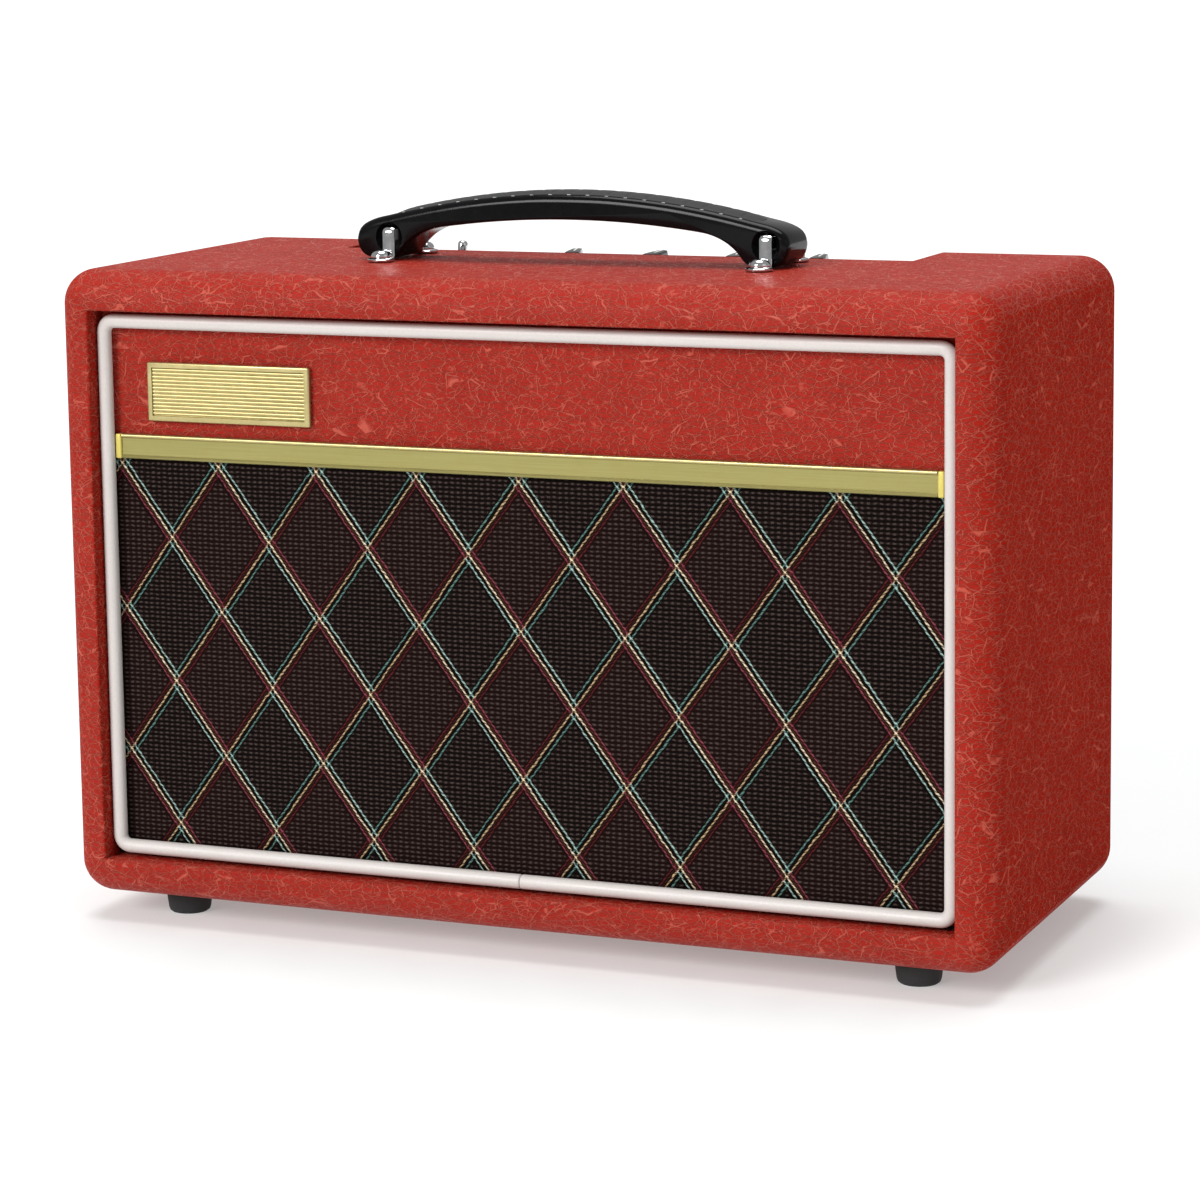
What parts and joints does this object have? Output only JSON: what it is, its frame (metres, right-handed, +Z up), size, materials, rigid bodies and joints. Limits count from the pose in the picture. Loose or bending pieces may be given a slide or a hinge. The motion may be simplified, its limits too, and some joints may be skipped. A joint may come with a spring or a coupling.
{
  "type": "guitar amplifier",
  "caption": "Small combo guitar amplifier: vinyl-covered cabinet with a diamond grille cloth, piped recessed front, carrying handle, rear-top control recess and an open-backed speaker.",
  "frame": {"origin": "centre of the cabinet's footprint, on the surface that the feet stand on", "axes": "+X to the right seen from the front, +Y rearwards, +Z up; the grille faces -Y"},
  "size_m": [0.38, 0.17, 0.2848],
  "materials": {
    "red_vinyl": "crackle-grained red vinyl",
    "plywood": "bare plywood",
    "black_board": "black painted board",
    "grille_cloth": "woven dark cloth with a diamond pattern",
    "gold_trim": "satin gold",
    "white_piping": "smooth off-white vinyl",
    "black_plastic": "moulded black plastic",
    "gloss_black": "glossy black plastic",
    "chrome": "bright chrome plate",
    "rubber": "black rubber",
    "steel_plate": "plated sheet steel",
    "plated_steel": "zinc plated",
    "control_panel": "black painted plate with plain scale marks",
    "circuit_board": "green solder mask",
    "laminated_core": "varnished iron laminations",
    "winding": "enamelled copper wire",
    "painted_basket": "black painted pressed steel",
    "speaker_paper": "felted paper",
    "spider_cloth": "resin-stiffened cloth",
    "ferrite": "sintered ferrite",
    "lamp_red": "clear red lamp"
  },
  "bodies": {
    "cabinet": {"badge_plate": "gold_trim", "bass_pot": "plated_steel", "bottom_panel": "plywood", "chassis": "steel_plate", "circuit_board": "circuit_board", "control_panel": "control_panel", "fascia_covering": "red_vinyl", "foot_front_left": "rubber", "foot_front_right": "rubber", "foot_rear_left": "rubber", "foot_rear_right": "rubber", "gain_pot": "plated_steel", "gold_strip": "gold_trim", "grille_cloth": "grille_cloth", "handle_bracket_left": "chrome", "handle_bracket_right": "chrome", "handle_screw_front_left": "chrome", "handle_screw_front_right": "chrome", "handle_screw_rear_left": "chrome", "handle_screw_rear_right": "chrome", "input_jack": "black_plastic", "mains_inlet": "black_plastic", "overdrive_switch": "black_plastic", "phones_jack": "black_plastic", "piping": "white_piping", "power_lamp": "lamp_red", "power_switch": "chrome", "rear_cleat_left": "plywood", "rear_cleat_right": "plywood", "rear_panel_lower": "black_board", "rear_panel_lower_screw_left": "plated_steel", "rear_panel_lower_screw_right": "plated_steel", "rear_panel_upper": "black_board", "rear_panel_upper_screw_left": "plated_steel", "rear_panel_upper_screw_right": "plated_steel", "side_panel_left": "plywood", "side_panel_right": "plywood", "speaker_baffle": "black_board", "speaker_basket": "painted_basket", "speaker_magnet": "ferrite", "speaker_spider": "spider_cloth", "speaker_surround": "rubber", "speaker_top_plate": "steel_plate", "speaker_yoke": "steel_plate", "top_panel": "plywood", "transformer_core": "laminated_core", "transformer_winding": "winding", "treble_pot": "plated_steel", "vinyl_covering": "red_vinyl", "volume_pot": "plated_steel"},
    "gain_knob": {"gain_knob": "gloss_black"},
    "treble_knob": {"treble_knob": "gloss_black"},
    "bass_knob": {"bass_knob": "gloss_black"},
    "volume_knob": {"volume_knob": "gloss_black"},
    "toggle": {"power_toggle": "chrome"},
    "button": {"overdrive_button": "gloss_black"},
    "handle": {"handle_grip": "gloss_black"},
    "diaphragm": {"speaker_cone": "speaker_paper", "dust_cap": "speaker_paper", "voice_coil": "winding"}
  },
  "joints": [
    {"name": "gain_turn", "type": "hinge", "parent": "cabinet", "child": "gain_knob", "pos_m": [-0.031, 0.0585, 0.2515], "axis": [0, 0, -1], "range_deg": [-135, 165]},
    {"name": "treble_turn", "type": "hinge", "parent": "cabinet", "child": "treble_knob", "pos_m": [0.004, 0.0585, 0.2515], "axis": [0, 0, -1], "range_deg": [-146, 154]},
    {"name": "bass_turn", "type": "hinge", "parent": "cabinet", "child": "bass_knob", "pos_m": [0.039, 0.0585, 0.2515], "axis": [0, 0, -1], "range_deg": [-140, 160]},
    {"name": "volume_turn", "type": "hinge", "parent": "cabinet", "child": "volume_knob", "pos_m": [0.074, 0.0585, 0.2515], "axis": [0, 0, -1], "range_deg": [-140, 160]},
    {"name": "power_tip", "type": "hinge", "parent": "cabinet", "child": "toggle", "pos_m": [-0.0815, 0.0585, 0.2455], "axis": [1, 0, 0], "range_deg": [0, 24]},
    {"name": "overdrive_press", "type": "slide", "parent": "cabinet", "child": "button", "axis": [0, 0, -1], "range_m": [0, 0.0025], "stiffness_N_per_m": 300},
    {"name": "handle_lift", "type": "slide", "parent": "cabinet", "child": "handle", "axis": [0, 0, 1], "range_m": [0, 0.005]},
    {"name": "cone_travel", "type": "slide", "parent": "cabinet", "child": "diaphragm", "axis": [0, -1, 0], "range_m": [-0.003, 0.003], "stiffness_N_per_m": 1500, "deforming": ["speaker_surround", "speaker_spider"]}
  ]
}
